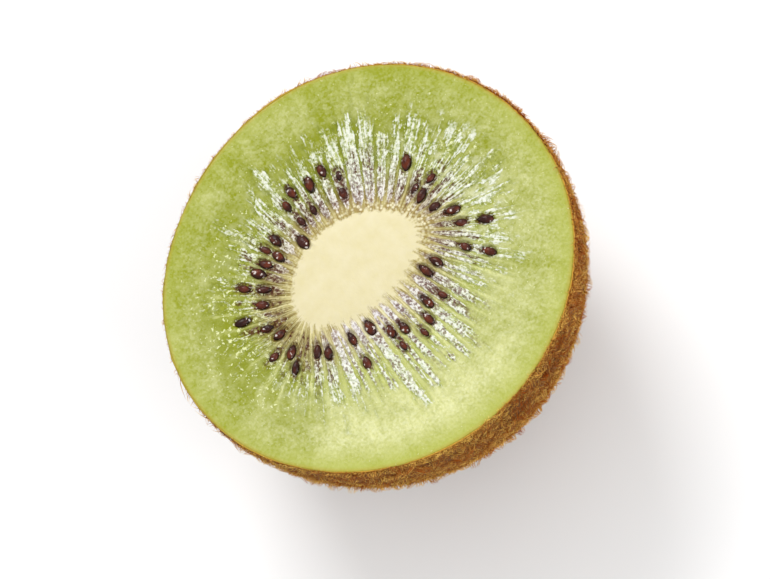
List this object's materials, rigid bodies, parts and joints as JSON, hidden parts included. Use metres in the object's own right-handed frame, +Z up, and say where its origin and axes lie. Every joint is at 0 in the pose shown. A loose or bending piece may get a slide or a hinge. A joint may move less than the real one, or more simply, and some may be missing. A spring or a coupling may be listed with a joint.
{
  "type": "kiwi fruit half",
  "caption": "Half of a green kiwi fruit, cut across its middle, with a pale core, rays, a ring of dark seeds and brown fuzzy skin; it stands cut face up on its stem scar.",
  "frame": {"origin": "on the surface that the half stands on, under the middle of its outline", "axes": "+Z up the fruit's own axis, out of the cut face; +X along the longer diameter of the cut face"},
  "size_m": [0.0484, 0.0458, 0.0303],
  "materials": {
    "flesh": "wet, glistening green fruit flesh with a pale core and pale rays",
    "skin": "dry, dull brown fruit skin",
    "fuzz": "short, stiff golden-brown hairs",
    "seed": "smooth, wet, dark purple-brown seeds",
    "scar": "hard, corky stem scar"
  },
  "bodies": {
    "root": {"kiwi_half": "flesh"}
  },
  "joints": []
}
